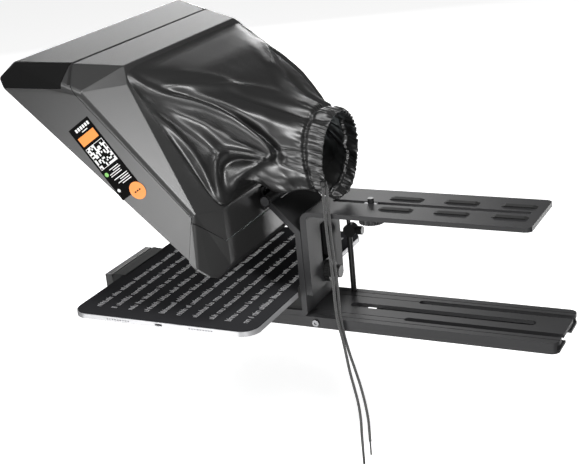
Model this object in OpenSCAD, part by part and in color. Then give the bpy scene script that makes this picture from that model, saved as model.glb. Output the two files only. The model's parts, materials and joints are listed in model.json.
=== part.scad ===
// Teleprompter: a slotted base rail carries a folded bracket, a height-adjustable camera plate,
// a tablet between two jaws and a moulded hood with a beam-splitting glass and a fabric sleeve.
// X is sideways, the talent stands at -Y and the camera at +Y, and Z is up.
// The origin is the mouth of the tripod socket under the rail.

/* [Base rail] */
// Width of the rail and of the camera plate
rail_w = 80; // [70:1:90]
// Height of the rail
rail_h = 12; // [12:0.5:14]
// Front end of the rail, from the tripod socket
rail_front = -150; // [-160:1:-140]
// Rear end of the rail, from the tripod socket
rail_rear = 250; // [240:1:260]
// Width of the rail's centre slot
rail_slot_w = 10.5; // [10:0.1:11]

/* [Camera plate] */
// Height of the plate's upper face
plate_top = 127; // [126:0.5:128]
// Thickness of the plate
plate_t = 5; // [4:0.5:5]
// Rear end of the plate
plate_rear = 228; // [222:1:234]
// Width of the slot for the camera screw
plate_slot_w = 7; // [6.8:0.1:8]
// Where the camera screw stands along the slot
screw_y = 51; // [46:1:60]
// How far the plate can be lowered
height_travel = 20; // [10:1:20]

/* [Tablet] */
// Long side of the tablet
tablet_w = 280.6; // [278:0.1:282]
// Short side of the tablet
tablet_l = 214.9; // [213:0.1:215]
// Thickness of the tablet
tablet_t = 5.9; // [5.5:0.1:6]
// Height of the tablet's screen
tablet_top = 37; // [36.5:0.1:37.5]

/* [Hood] */
// Wall thickness of the hood's shell
hood_wall = 2.6; // [2:0.1:3]
// Half the hood's width at the front of the glass
glass_front_hw = 162; // [158:1:164]
// Half the hood's width at the back of the glass
glass_back_hw = 141; // [138:1:144]
// Thickness of the glass
glass_t = 2; // [1.5:0.1:2.5]

/* [Sleeve and cords] */
// Thickness of the sleeve's fabric
sleeve_t = 1.8; // [1.5:0.1:2.2]
// Diameter of the drawstring cords
cord_d = 3; // [2.6:0.1:3.2]

/* [Hidden] */
$fn = 64;
EPS = 0.01;
RUN = 0.05;            // radial running clearance of a pin in its bore
GAP = 0.3;             // air between soft or sliding faces

// Rail section
rail_top_t = 4;
rail_side_t = 3;
rail_lip_w = 10;
rail_lip_t = 2.5;
rail_floor_y = 42;
rail_floor_gap = 22;
rail_corner_r = 8;
rail_slot_y = [20, 218];
side_slot_x = 22;
side_slot_w = 8;
side_slot_y = 88;
groove_w = 1;
groove_t = 0.8;
channel_hw = rail_w / 2 - rail_side_t;

// Tripod block
block_l = 60;
socket_big_r = 4.76;
socket_small_r = 3.18;
socket_small_y = 17;
block_screw = [24, 22];
side_screw_y = -3;
side_screw_z = 5.6;

// Bracket: wall, foot and the part that leans forward at 45 degrees
wall_y = -11.5;
wall_t = 6.5;
foot_top = 18;
foot_front = -95;
bend_z = 105.4;
lean_line = wall_y + bend_z;
lean_mid = lean_line - wall_t / sqrt(2);
pivot_y = -47;
pivot_z = lean_mid - pivot_y;
knuckle_r = 6;
pin_r = 3;
leaf_hw = 19.6;
hood_rear_y = -60;
leaf_y = -57.2;

// Camera plate's leg
leg_y = wall_y + 0.5;
leg_t = 7;
leg_bottom = 36;
leg_r = 10;
leg_slot_hw = 9;
leg_slot_z = [40, 103];
key_z = [41, 61];
lock_z = 48.5;
neck_r = 3;
grip_x = 16;
grip_y = [84, 142, 200];
grip_size = [7, 36, 1.2];

// Strut between rail and camera plate
strut_x = -35;
strut_y = 8.4;
strut_r = 3;
rod_r = 2.05;
strut_top = 78;
collar_r = 7;
collar_z = 82;
collar_y = 10.3;

// Tablet and jaws
tablet_bottom = tablet_top - tablet_t;
tablet_rear = -22;
tablet_front = tablet_rear - tablet_l;
tablet_r = 18;
screen_t = 0.7;
jaw_hw = 42;
jaw_top = 38;
jaw_bar_z = [2.9, 7.6];
jaw_screw_y = -80;
jaw_y = tablet_front - GAP;
ledge_z = [20, tablet_bottom - GAP];

// Hood: the glass lies on the plane where y + z is a constant
glass_plane = 27;
seam_slope = -1.194;
seam_point = [-188.6, 296.1];
skin_r = 4;
rim_z = 119;
// Outer corners of the hood on its +X side
HOOD_CORNERS = [
    [glass_front_hw, -254, 280.5], [glass_front_hw + 0.5, -256.5, 291.5], [158, -244.5, 302.5],
    [126.5, -188.6, 296], [115, -149, 291.6], [161, -170, 277.8], [126.5, -140.5, 277.4],
    [147, -69, 154.5], [121, -73, 171], [111, -59, 148.6], [111, -59, 91],
    [glass_back_hw + 1, -80, 107.5], [142, -74, 99], [131.5, -69, 88.5], [121, -65, 84]
];
hood_mid = [0, -130, 190];

// The opening for the sleeve lies in a leaning plane between these two heights
open_low = [hood_rear_y, 148];
open_high = [-149, 290];
open_vec = open_high - open_low;
open_len = norm(open_vec);
open_tilt = atan2(open_vec[1], -open_vec[0]);
open_hw = 112;

// Sleeve: top line, bottom line, half width, squareness and taper from hood (0) to mouth (1)
SLEEVE_TOP_Y = [[0, -147.3], [0.15, -127], [0.3, -98], [0.45, -72], [0.6, -48], [0.75, -24], [0.88, 0], [1, 22]];
SLEEVE_TOP_Z = [[0, 288.4], [0.15, 287], [0.3, 278], [0.45, 263], [0.6, 245], [0.75, 232], [0.88, 224], [1, 220]];
SLEEVE_LOW_Y = [[0, -60.6], [0.15, -53], [0.3, -44], [0.45, -33], [0.6, -20], [0.75, -6], [0.88, 8], [1, 22]];
SLEEVE_LOW_Z = [[0, 150], [0.15, 161], [0.3, 166], [0.45, 160], [0.6, 154], [0.75, 147], [0.88, 138], [1, 132]];
SLEEVE_HALF = [[0, 117], [0.15, 111], [0.3, 98], [0.45, 85], [0.6, 72], [0.75, 59], [0.88, 50], [1, 44]];
SLEEVE_POWER = [[0, 14], [0.15, 7], [0.3, 4.5], [0.45, 3.6], [0.6, 3], [0.75, 2.5], [0.88, 2.1], [1, 2]];
SLEEVE_TAPER = [[0, 0.035], [0.3, 0], [1, 0]];
sleeve_rings = 14;
sleeve_sides = 40;

// Drawstring cords: routes from the eyelet down
eyelet = [46.6, 22.4, 159.3];
CORD_A = [
    [46, 21, 157], [46.4, 21, 146], [46.6, 21.2, 134], [46.8, 21.4, 119], [46.8, 21.8, 103],
    [46.8, 22.6, 87], [46.8, 23.4, 71], [46.8, 24, 54], [46.8, 24, 36], [46.8, 24.8, 18],
    [47, 27, 4], [47, 29.4, -8], [47, 31.6, -24], [47, 34, -42], [47, 37.4, -60], [47, 40.6, -78],
    [47, 42, -96], [47, 41.8, -115], [47, 41.8, -134]
];
CORD_B = [
    [44, 24, 157], [43.6, 24, 146], [43.4, 24, 134], [43.2, 24, 119], [43.2, 24.2, 103],
    [43.2, 24.8, 87], [43.2, 25.6, 71], [43.2, 26.4, 54], [43.2, 26.6, 36], [43.2, 26.8, 18],
    [43.2, 28.4, 4], [43.2, 30.6, -9], [43.2, 34.4, -26], [43.2, 39.2, -44], [43.2, 43.6, -62],
    [43.2, 46.8, -80], [43.2, 48.8, -98], [43.2, 49, -111], [43.2, 49, -124]
];
cord_steps = 2;
cord_sides = 8;
tip_l = 16;

// ---- Shared shapes ----

// Flat rectangle with round corners, centred
module round_rect(size, r) {
    square([size[0] - 2 * r, size[1]], center = true);
    square([size[0], size[1] - 2 * r], center = true);
    for (sx = [-1, 1], sy = [-1, 1])
        translate([sx * (size[0] / 2 - r), sy * (size[1] / 2 - r)]) circle(r);
}

// Flat slot with round ends that runs along Y from y0 to y1
module slot_2d(x, width, y0, y1) {
    r = width / 2;
    translate([x - r, y0 + r]) square([width, y1 - y0 - width]);
    for (y = [y0 + r, y1 - r]) translate([x, y]) circle(r);
}

// Box from its two corners
module span(low, high) {
    translate(low) cube(high - low);
}

// Cylinder along X, or along Y, from start to end
module rod_x(x0, x1, y, z, r) {
    translate([x0, y, z]) rotate([0, 90, 0]) cylinder(h = x1 - x0, r = r);
}
module rod_y(x, y0, y1, z, r) {
    translate([x, y1, z]) rotate([90, 0, 0]) cylinder(h = y1 - y0, r = r);
}

// Extrudes a flat shape drawn in Y and Z along X
module along_x(width) {
    rotate([90, 0, 90]) linear_extrude(width, center = true) children();
}

// Round grip with scallops along its rim, standing on Z
module fluted_grip(r, h, flutes, flute_r) {
    difference() {
        cylinder(h = h, r = r);
        for (i = [0 : flutes - 1]) rotate([0, 0, i * 360 / flutes])
            translate([r + flute_r * 0.45, 0, -1]) cylinder(h = h + 2, r = flute_r, $fn = 24);
    }
}

// Screw with a button head that stands on Z = 0 and a shank below it
module button_screw(head_r, head_h, shank_r, shank_l) {
    difference() {
        union() {
            cylinder(h = head_h, r = head_r);
            translate([0, 0, -shank_l]) cylinder(h = shank_l + EPS, r = shank_r);
        }
        translate([0, 0, head_h * 0.45]) cylinder(h = head_h, r = head_r * 0.45, $fn = 6);
    }
}

// ---- Base rail ----

module rail_plan(y0, y1) {
    translate([-rail_w / 2, y0]) square([rail_w, y1 - y0 - rail_corner_r]);
    translate([-rail_w / 2 + rail_corner_r, y1 - 2 * rail_corner_r])
        square([rail_w - 2 * rail_corner_r, 2 * rail_corner_r]);
    for (s = [-1, 1]) translate([s * (rail_w / 2 - rail_corner_r), y1 - rail_corner_r])
        circle(rail_corner_r);
}

module base_rail() {
    color([0.13, 0.13, 0.135]) difference() {
        linear_extrude(rail_h) rail_plan(rail_front, rail_rear);
        span([-channel_hw, rail_front - 1, rail_lip_t], [channel_hw, rail_rear + 1, rail_h - rail_top_t]);
        span([-rail_w / 2 + rail_lip_w, rail_front - 1, -1], [rail_w / 2 - rail_lip_w, rail_floor_y, rail_lip_t + EPS]);
        span([-rail_floor_gap / 2, rail_floor_y - 1, -1], [rail_floor_gap / 2, rail_rear + 1, rail_lip_t + EPS]);
        translate([0, 0, rail_h - rail_top_t - 1]) linear_extrude(rail_top_t + 2) {
            slot_2d(0, rail_slot_w, rail_slot_y[0], rail_slot_y[1]);
            for (s = [-1, 1]) slot_2d(s * side_slot_x, side_slot_w, side_slot_y, rail_rear + 20);
        }
        for (x = [-side_slot_x, side_slot_x, -32, 32])
            span([x - groove_w / 2, rail_front - 1, rail_h - groove_t], [x + groove_w / 2, rail_rear + 1, rail_h + 1]);
        for (x = [-block_screw[0], block_screw[0]], y = [-block_screw[1], block_screw[1]])
            translate([x, y, rail_h - rail_top_t - 1]) cylinder(h = 3.6, r = 2);
        for (x = [-25, 25], y = [-40, -80]) translate([x, y, 6]) cylinder(h = 8, r = 2.55);
        for (s = [-1, 1]) rod_x(s * (rail_w / 2 - 2) - 4, s * (rail_w / 2 - 2) + 4, side_screw_y, side_screw_z, 2.1);
    }
}

module rail_side_screws() {
    color([0.75, 0.75, 0.77]) for (s = [-1, 1])
        translate([s * rail_w / 2, side_screw_y, side_screw_z]) rotate([0, s * 90, 0])
            button_screw(3.6, 2, 2.05, 9);
}

module tripod_block() {
    color([0.1, 0.1, 0.105]) difference() {
        union() {
            span([-channel_hw + 0.2, -block_l / 2, rail_lip_t + 0.1], [channel_hw - 0.2, block_l / 2, rail_h - rail_top_t]);
            span([-29.5, -block_l / 2, 0], [29.5, block_l / 2, 5]);
        }
        translate([0, 0, -1]) cylinder(h = rail_h, r = socket_big_r);
        for (s = [-1, 1]) translate([0, s * socket_small_y, -1]) cylinder(h = rail_h, r = socket_small_r);
        for (x = [-block_screw[0], block_screw[0]], y = [-block_screw[1], block_screw[1]]) {
            translate([x, y, -1]) cylinder(h = rail_h, r = 2);
            translate([x, y, -1]) cylinder(h = 3.6, r = 4);
        }
        for (s = [-1, 1]) rod_x(s * 34 - 4, s * 34 + 4, side_screw_y, side_screw_z, 2.1);
    }
}

module block_screws() {
    color([0.3, 0.3, 0.31])
        for (x = [-block_screw[0], block_screw[0]], y = [-block_screw[1], block_screw[1]])
            translate([x, y, 2.6]) mirror([0, 0, 1]) button_screw(3.8, 2.2, 1.95, 7.8);
}

// ---- Support bracket ----

module bracket_section(reach_z) {
    reach_y = lean_mid - reach_z;
    half = wall_t / 2 / sqrt(2);
    polygon([
        [wall_y, rail_h + 5], [wall_y, bend_z], [reach_y + half, reach_z + half],
        [reach_y - half, reach_z - half], [wall_y - wall_t, bend_z - wall_t * (sqrt(2) - 1)],
        [wall_y - wall_t, foot_top], [foot_front, foot_top], [foot_front, rail_h],
        [wall_y - 5, rail_h]
    ]);
    intersection() {
        translate([wall_y - 5, rail_h + 5]) circle(5);
        translate([wall_y - 5, rail_h]) square([5, 5]);
    }
}

module support_bracket() {
    color([0.12, 0.12, 0.125]) difference() {
        union() {
            along_x(rail_w) bracket_section(pivot_z);
            rod_x(-rail_w / 2, rail_w / 2, pivot_y, pivot_z, knuckle_r);
        }
        rod_x(-leaf_hw - 0.5, leaf_hw + 0.5, pivot_y, pivot_z, knuckle_r + 2);
        rod_x(-rail_w, rail_w, pivot_y, pivot_z, pin_r + RUN);
        for (x = [-25, 25], y = [-40, -80]) {
            translate([x, y, rail_h - 1]) cylinder(h = 12, r = 2.55);
            translate([x, y, foot_top - 3]) cylinder(h = 12, r = 5);
        }
        rod_y(0, wall_y - wall_t - 1, wall_y + 1, lock_z, 3.05);
    }
}

module bracket_screws() {
    color([0.3, 0.3, 0.31]) for (x = [-25, 25], y = [-40, -80])
        translate([x, y, foot_top - 3]) button_screw(4.8, 2.6, 2.5, 6.9);
}

// Block that fills the leg's slot and keeps the leg straight as it slides
module guide_key() {
    color([0.1, 0.1, 0.1]) difference() {
        span([-leg_slot_hw + RUN, wall_y, key_z[0]], [leg_slot_hw - RUN, leg_y + leg_t - 0.3, key_z[1]]);
        rod_y(0, wall_y - 1, 2, lock_z, 3.05);
    }
}

// Rubber strip with a ledge that carries the tablet's rear edge
module rear_jaw_pad() {
    color([0.06, 0.06, 0.06]) {
        along_x(76) polygon([
            [wall_y - wall_t, foot_top], [wall_y - wall_t, tablet_top + 8],
            [wall_y - wall_t - 2, tablet_top + 8], [tablet_rear + GAP, tablet_top + 4],
            [tablet_rear + GAP, ledge_z[1]], [tablet_rear - 16, ledge_z[1]],
            [tablet_rear - 16, foot_top]
        ]);
    }
}

// ---- Strut ----

module strut_tube() {
    color([0.1, 0.1, 0.1]) difference() {
        translate([strut_x, strut_y, rail_h]) cylinder(h = strut_top - rail_h, r = strut_r);
        translate([strut_x, strut_y, rail_h + 1]) cylinder(h = strut_top, r = rod_r + RUN);
    }
}

module strut_collar() {
    color([0.09, 0.09, 0.09]) difference() {
        rod_x(strut_x - 5, strut_x + 5, collar_y, collar_z, collar_r);
        translate([strut_x, strut_y, collar_z - 12]) cylinder(h = 24, r = rod_r + RUN);
        translate([strut_x, strut_y, collar_z - 12]) cylinder(h = 12 + strut_top - collar_z, r = strut_r + RUN);
        rod_y(strut_x, strut_y + rod_r + 0.2, collar_y + 12, collar_z, 1.6);
    }
}

module strut_rod() {
    color([0.16, 0.16, 0.16])
        translate([strut_x, strut_y, 36]) cylinder(h = plate_top - plate_t - 36, r = rod_r);
}

module strut_lock_knob() {
    color([0.2, 0.2, 0.2]) {
        translate([strut_x, collar_y + collar_r + 0.4, collar_z]) rotate([-90, 0, 0])
            fluted_grip(4.6, 6.4, 16, 0.7);
        rod_y(strut_x, strut_y + rod_r + 0.8, collar_y + collar_r + 0.5, collar_z, 1.55);
    }
}

// ---- Camera plate ----

module camera_plate() {
    inner = plate_top - plate_t;
    color([0.14, 0.14, 0.145]) difference() {
        union() {
            intersection() {
                along_x(rail_w) {
                    translate([leg_y + leg_r, inner]) square([plate_rear, plate_t]);
                    translate([leg_y, leg_bottom]) square([leg_t, plate_top - leg_r - leg_bottom]);
                    difference() {
                        translate([leg_y + leg_r, plate_top - leg_r]) circle(leg_r);
                        translate([leg_y + leg_t, 0]) square([40, inner]);
                        translate([leg_y + leg_r, 0]) square([40, inner]);
                    }
                }
                linear_extrude(200) rail_plan(leg_y - 1, plate_rear);
            }
            translate([0, leg_y + leg_t, inner]) along_x(rail_w) difference() {
                translate([-1, -4]) square([5, 5]);
                translate([4, -4]) circle(4);
            }
        }
        translate([0, 0, inner - 8]) linear_extrude(plate_t + 10)
            slot_2d(0, plate_slot_w, 10, 216);
        span([-leg_slot_hw, leg_y - 2, leg_slot_z[0]], [leg_slot_hw, leg_y + leg_t + 1, leg_slot_z[1]]);
    }
}

module grip_strips() {
    color([0.11, 0.11, 0.11]) for (s = [-1, 1], y = grip_y) translate([s * grip_x, y, plate_top])
        rotate([90, 0, 90]) linear_extrude(grip_size[0], center = true) polygon([
            [-grip_size[1] / 2, 0], [grip_size[1] / 2, 0],
            [grip_size[1] / 2 - 4, grip_size[2]], [-grip_size[1] / 2 + 4, grip_size[2]]
        ]);
}

// Washer with a tongue in the plate's slot, so that it slides without turning
module slot_washer() {
    under = plate_top - plate_t;
    tongue = plate_slot_w / 2 - RUN;
    color([0.5, 0.5, 0.5]) difference() {
        union() {
            translate([0, screw_y, under - 1.6]) cylinder(h = 1.5, r = 9);
            span([-tongue, screw_y - 7, under - 0.4], [tongue, screw_y + 7, plate_top - 0.5]);
        }
        translate([0, screw_y, under - 5]) cylinder(h = 20, r = neck_r + RUN);
    }
}

module camera_screw() {
    head_z = 106.5;
    head_h = plate_top - plate_t - 1.8 - head_z;
    color([0.15, 0.15, 0.155]) difference() {
        union() {
            translate([0, screw_y, head_z]) fluted_grip(13.5, head_h, 28, 1.2);
            translate([0, screw_y, head_z + 1]) cylinder(h = plate_top - head_z, r = neck_r);
            translate([0, screw_y, plate_top + 0.2]) cylinder(h = 4.8, r = 3.175);
        }
        span([-10, screw_y - 0.8, head_z - 1], [10, screw_y + 0.8, head_z + 1.6]);
    }
}

module height_lock_knob() {
    front = leg_y + leg_t + 0.3;
    color([0.12, 0.12, 0.12]) {
        translate([0, front, lock_z]) rotate([-90, 0, 0]) fluted_grip(11.5, 6, 20, 1.4);
        translate([0, front + 5.9, lock_z]) rotate([-90, 0, 0]) fluted_grip(6.6, 9.5, 14, 0.8);
        rod_y(0, wall_y - 4, front + 0.5, lock_z, 3);
    }
}

// ---- Front jaw ----

module jaw_bar() {
    color([0.12, 0.12, 0.12]) difference() {
        span([-channel_hw + 0.5, jaw_y - 21, jaw_bar_z[0]], [channel_hw - 0.5, -42, jaw_bar_z[1]]);
        translate([0, jaw_screw_y, 0]) cylinder(h = 20, r = 3.05);
    }
}

// Outer half of the front jaw, with ribs across its top
module front_jaw() {
    back = jaw_y - 12.4;
    color([0.13, 0.13, 0.13]) difference() {
        along_x(2 * jaw_hw) polygon([
            [back, jaw_bar_z[1]], [back - 8.6, jaw_bar_z[1]], [back - 8.6, jaw_top - 1],
            [back - 7.8, jaw_top], [back, jaw_top]
        ]);
        for (i = [-18 : 18])
            span([i * 2.2 - 0.45, back - 8, jaw_top - 0.5], [i * 2.2 + 0.45, back - 1, jaw_top + 1]);
    }
}

// Rubber nose of the front jaw: a ledge below the tablet's edge and a thin lip above it
module front_jaw_pad() {
    back = jaw_y - 12.4;
    color([0.06, 0.06, 0.06]) along_x(2 * jaw_hw - 0.6) polygon([
        [back, 14], [back, jaw_top - 3.2], [back + 1.3, jaw_top - 3.2], [back + 1.3, jaw_top - 0.3],
        [back + 2.6, jaw_top + 0.6], [back + 5, jaw_top + 0.9], [back + 8, jaw_top + 0.6],
        [jaw_y + 4.6, tablet_top + 1.2], [jaw_y + 5.4, tablet_top + 0.4],
        [jaw_y + 5, tablet_top + GAP], [jaw_y, tablet_top + GAP],
        [jaw_y, ledge_z[1]], [jaw_y + 14, ledge_z[1]], [jaw_y + 14, 24], [jaw_y + 4, 14]
    ]);
}

module jaw_lock_screw() {
    color([0.6, 0.6, 0.62]) translate([0, jaw_screw_y, jaw_bar_z[0] - 0.1]) mirror([0, 0, 1])
        button_screw(7, 2.2, 3, 5);
}

// ---- Tablet ----

module tablet_body() {
    mid_y = (tablet_front + tablet_rear) / 2;
    color([0.82, 0.83, 0.84]) difference() {
        translate([0, mid_y, tablet_bottom]) linear_extrude(tablet_t - screen_t)
            round_rect([tablet_w, tablet_l], tablet_r);
        for (s = [-1, 1], i = [0 : 8]) rod_x(tablet_w / 2 - 3, tablet_w / 2 + 1,
            mid_y + s * (36 + i * 3.2), tablet_bottom + 2.6, 0.8);
        rod_x(tablet_w / 2 - 4, tablet_w / 2 + 1, mid_y - 3, tablet_bottom + 2.6, 1.3);
        rod_x(tablet_w / 2 - 4, tablet_w / 2 + 1, mid_y + 3, tablet_bottom + 2.6, 1.3);
        span([tablet_w / 2 - 4, mid_y - 3, tablet_bottom + 1.3], [tablet_w / 2 + 1, mid_y + 3, tablet_bottom + 3.9]);
    }
}

module tablet_screen() {
    color([0.03, 0.03, 0.035]) translate([0, (tablet_front + tablet_rear) / 2, tablet_top - screen_t])
        linear_extrude(screen_t) round_rect([tablet_w - 1.6, tablet_l - 1.6], tablet_r - 0.8);
}

// ---- Hood ----

// Convex skin over the hood's corners, moved in from them by a distance
module hood_solid(inset) {
    r = skin_r - inset;
    hull() for (c = HOOD_CORNERS, s = [-1, 1]) {
        inward = (hood_mid - c) / norm(hood_mid - c) * skin_r * 1.15;
        translate([s * (c[0] + inward[0]), c[1] + inward[1], c[2] + inward[2]]) sphere(r, $fn = 20);
    }
}

// Everything below the plane y + z = level
module below_glass(level) {
    translate([0, level / 2, level / 2]) rotate([-45, 0, 0])
        translate([-250, -500, -500]) cube([500, 1000, 500]);
}

// Everything behind the seam and the rear fold, moved back by a distance
module rear_part(shift) {
    translate([0, shift, 0]) along_x(500) polygon([
        [seam_point[0] + 40 / seam_slope, seam_point[1] + 40], seam_point, [-70, 154.5],
        [-86, 87], [-86, 60], [60, 60], [60, 340]
    ]);
}

// Everything below the ledge of the lower rim, which rises on the corner facets
module low_part(shift) {
    rise = (170 - 110) * 0.806;
    translate([0, 0, shift]) rotate([90, 0, 0]) linear_extrude(300) polygon([
        [-170, 40], [170, 40], [170, rim_z + rise], [110, rim_z], [-110, rim_z], [-170, rim_z + rise]
    ]);
}

// Prism through the opening for the sleeve
module opening_prism(grow, depth) {
    translate([0, open_low[0], open_low[1]]) rotate([180 - open_tilt, 0, 0])
        translate([0, open_len / 2, -depth / 2]) linear_extrude(depth)
            round_rect([2 * (open_hw + grow), open_len - 18 + 2 * grow], 14 + grow);
}

module hood_shell() {
    difference() {
        hood_solid(0);
        hood_solid(hood_wall);
    }
}

// Flat ledge round the glass, joined to the shell's lower edge
module glass_ledge(inset) {
    intersection() {
        hood_solid(0.4);
        on_glass_plane(glass_plane, 2) difference() {
            glass_outline(-4);
            glass_outline(inset);
        }
    }
}

module hood_frame() {
    color([0.15, 0.15, 0.155]) {
        difference() {
            hood_shell();
            below_glass(glass_plane);
            rear_part(-0.1);
            for (s = [-1, 1]) difference() {
                trim_zone(s, 0);
                hood_solid(1.3);
            }
        }
        difference() {
            glass_ledge(13);
            span([-200, -86.5, 60], [200, 0, 160]);
        }
    }
}

module hood_body() {
    color([0.19, 0.19, 0.195]) difference() {
        intersection() {
            hood_shell();
            rear_part(0.1);
        }
        opening_prism(0, 40);
        low_part(0.1);
    }
}

module hood_lower_rim() {
    color([0.1, 0.1, 0.1]) difference() {
        intersection() {
            hood_shell();
            rear_part(0.1);
            low_part(-0.1);
        }
        along_x(400) polygon([[-120, 166.3], [-50, 59], [-120, 59]]);
    }
}

// Upright prism over the hood's upper front corner, where the trim strips lie
module trim_zone(side, inset) {
    mirror([side < 0 ? 1 : 0, 0, 0]) translate([0, 0, 281 + inset]) linear_extrude(60) polygon([
        [159, -300], [159 + inset, -246], [129 + inset, -194 - inset], [200, -180 - inset], [200, -300]
    ]);
}

module trim_strip(side) {
    color([0.03, 0.03, 0.03]) difference() {
        intersection() {
            hood_solid(0);
            trim_zone(side, 0.15);
        }
        hood_solid(1.2);
    }
}
module trim_strip_right() { trim_strip(1); }
module trim_strip_left() { trim_strip(-1); }

// Flat trapezium on the glass plane, from the front edge down to the back edge
module glass_outline(inset) {
    front = 377;
    back = 133.6;
    polygon([
        [-glass_front_hw + inset + 6, front - inset], [glass_front_hw - inset - 6, front - inset],
        [glass_back_hw - inset - 2, back + inset], [-glass_back_hw + inset + 2, back + inset]
    ]);
}

// Puts a flat shape on the plane y + z = level, its Y axis running up and forward
module on_glass_plane(level, thickness) {
    translate([0, level / 2, level / 2]) rotate([-45, 0, 0])
        linear_extrude(thickness) mirror([0, 1, 0]) children();
}

module beam_splitter_glass() {
    color([0.55, 0.6, 0.62, 0.35]) on_glass_plane(glass_plane + 3, glass_t)
        glass_outline(9);
}

module glass_gasket() {
    color([0.04, 0.04, 0.04]) on_glass_plane(glass_plane + 3 + (glass_t + 0.05) * sqrt(2), 1.5) difference() {
        glass_outline(9);
        glass_outline(13);
    }
}

// Frame inside the opening that holds the sleeve's edge
module sleeve_clamp_frame() {
    color([0.08, 0.08, 0.08]) translate([0, open_low[0], open_low[1]]) rotate([180 - open_tilt, 0, 0])
        translate([0, open_len / 2, 3.2]) linear_extrude(3) difference() {
            round_rect([2 * open_hw - 2, open_len - 22], 15);
            round_rect([2 * open_hw - 16, open_len - 36], 8);
        }
}

// ---- Sleeve ----

function signed_power(v, p) = sign(v) * pow(abs(v), p);

// One point of the sleeve at share t along it and angle a round it
function sleeve_point(t, a, inset) =
    let (
        top = [lookup(t, SLEEVE_TOP_Y), lookup(t, SLEEVE_TOP_Z)],
        low = [lookup(t, SLEEVE_LOW_Y), lookup(t, SLEEVE_LOW_Z)],
        mid = (top + low) / 2,
        up = (top - low) / norm(top - low),
        half_h = norm(top - low) / 2 - inset,
        half_w = lookup(t, SLEEVE_HALF) - inset,
        p = 2 / lookup(t, SLEEVE_POWER),
        rise = signed_power(sin(a), p),
        across = half_w * signed_power(cos(a), p) * (1 + lookup(t, SLEEVE_TAPER) * rise),
        along = half_h * rise
    )
    [across, mid[0] + up[0] * along, mid[1] + up[1] * along];

// One sewn panel of the sleeve between two of its lengthwise seams, cut off where it meets the hood
module sleeve_panel(first, last) {
    m = sleeve_rings;
    n = last - first + 1;
    points = [
        for (inset = [0, sleeve_t], i = [0 : m - 1], j = [first : last])
            sleeve_point(i / (m - 1), (j + 0.5) * 360 / sleeve_sides, inset)
    ];
    inner = m * n;
    walls = [
        for (i = [0 : m - 2], j = [0 : n - 2])
            let (a = i * n + j, b = a + 1, c = a + n, d = b + n)
            each [[a, b, d], [a, d, c], [inner + a, inner + d, inner + b], [inner + a, inner + c, inner + d]]
    ];
    ends = [
        for (j = [0 : n - 2])
            let (k = j + 1, end = (m - 1) * n)
            each [
                [j, inner + j, inner + k], [j, inner + k, k],
                [end + j, end + k, inner + end + k], [end + j, inner + end + k, inner + end + j]
            ]
    ];
    sides = [
        for (i = [0 : m - 2])
            let (a = i * n, c = a + n, b = a + n - 1, d = b + n)
            each [
                [a, c, inner + c], [a, inner + c, inner + a],
                [b, inner + d, d], [b, inner + b, inner + d]
            ]
    ];
    color([0.06, 0.06, 0.06]) difference() {
        polyhedron(points, concat(walls, ends, sides));
        hood_solid(-0.03);
    }
}

module sleeve_top_panel() { sleeve_panel(5, 14); }
module sleeve_left_panel() { sleeve_panel(14, 25); }
module sleeve_under_panel() { sleeve_panel(25, 34); }
module sleeve_right_panel() { sleeve_panel(34, 45); }

module cord_eyelet() {
    color([0.08, 0.08, 0.08]) translate(eyelet) difference() {
        cylinder(h = 4, r = 3.6);
        translate([0, 0, 0.8]) cylinder(h = 5, r = 2.6);
    }
}

// ---- Hinge ----

module hinge_leaf() {
    color([0.1, 0.1, 0.1]) difference() {
        union() {
            span([-30, leaf_y + 0.2, 123], [30, leaf_y + 3, 147]);
            span([-leaf_hw, leaf_y + 2, pivot_z - 4.5], [leaf_hw, pivot_y, pivot_z + 4.5]);
            rod_x(-leaf_hw, leaf_hw, pivot_y, pivot_z, knuckle_r);
        }
        rod_x(-leaf_hw - 1, leaf_hw + 1, pivot_y, pivot_z, pin_r + RUN);
        for (s = [-1, 1], z = [127, 143]) rod_y(s * 25, leaf_y - 1, leaf_y + 6, z, 1.65);
    }
}

module leaf_screws() {
    color([0.3, 0.3, 0.3]) for (s = [-1, 1], z = [127, 143])
        translate([s * 25, leaf_y + 3, z]) rotate([-90, 0, 0]) button_screw(3, 1.6, 1.6, 2.7);
}

module hinge_pin() {
    color([0.55, 0.55, 0.56]) {
        rod_x(-rail_w / 2 - 1, rail_w / 2 + 1, pivot_y, pivot_z, pin_r);
        for (s = [-1, 1]) translate([s * (rail_w / 2 + 0.6), pivot_y, pivot_z]) rotate([0, s * 90, 0])
            cylinder(h = 2, r = 5);
    }
}

// ---- Drawstring cords ----

// Point on a smooth curve through four route points, at share t between the middle two
function curve_point(a, b, c, d, t) =
    0.5 * (2 * b + (c - a) * t + (2 * a - 5 * b + 4 * c - d) * t * t + (3 * b - a - 3 * c + d) * t * t * t);

function smooth_route(route) = [
    for (i = [0 : len(route) - 2], k = [0 : cord_steps - 1])
        curve_point(route[max(i - 1, 0)], route[i], route[i + 1],
            route[min(i + 2, len(route) - 1)], k / cord_steps),
    route[len(route) - 1]
];

function unit(v) = v / norm(v);

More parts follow.
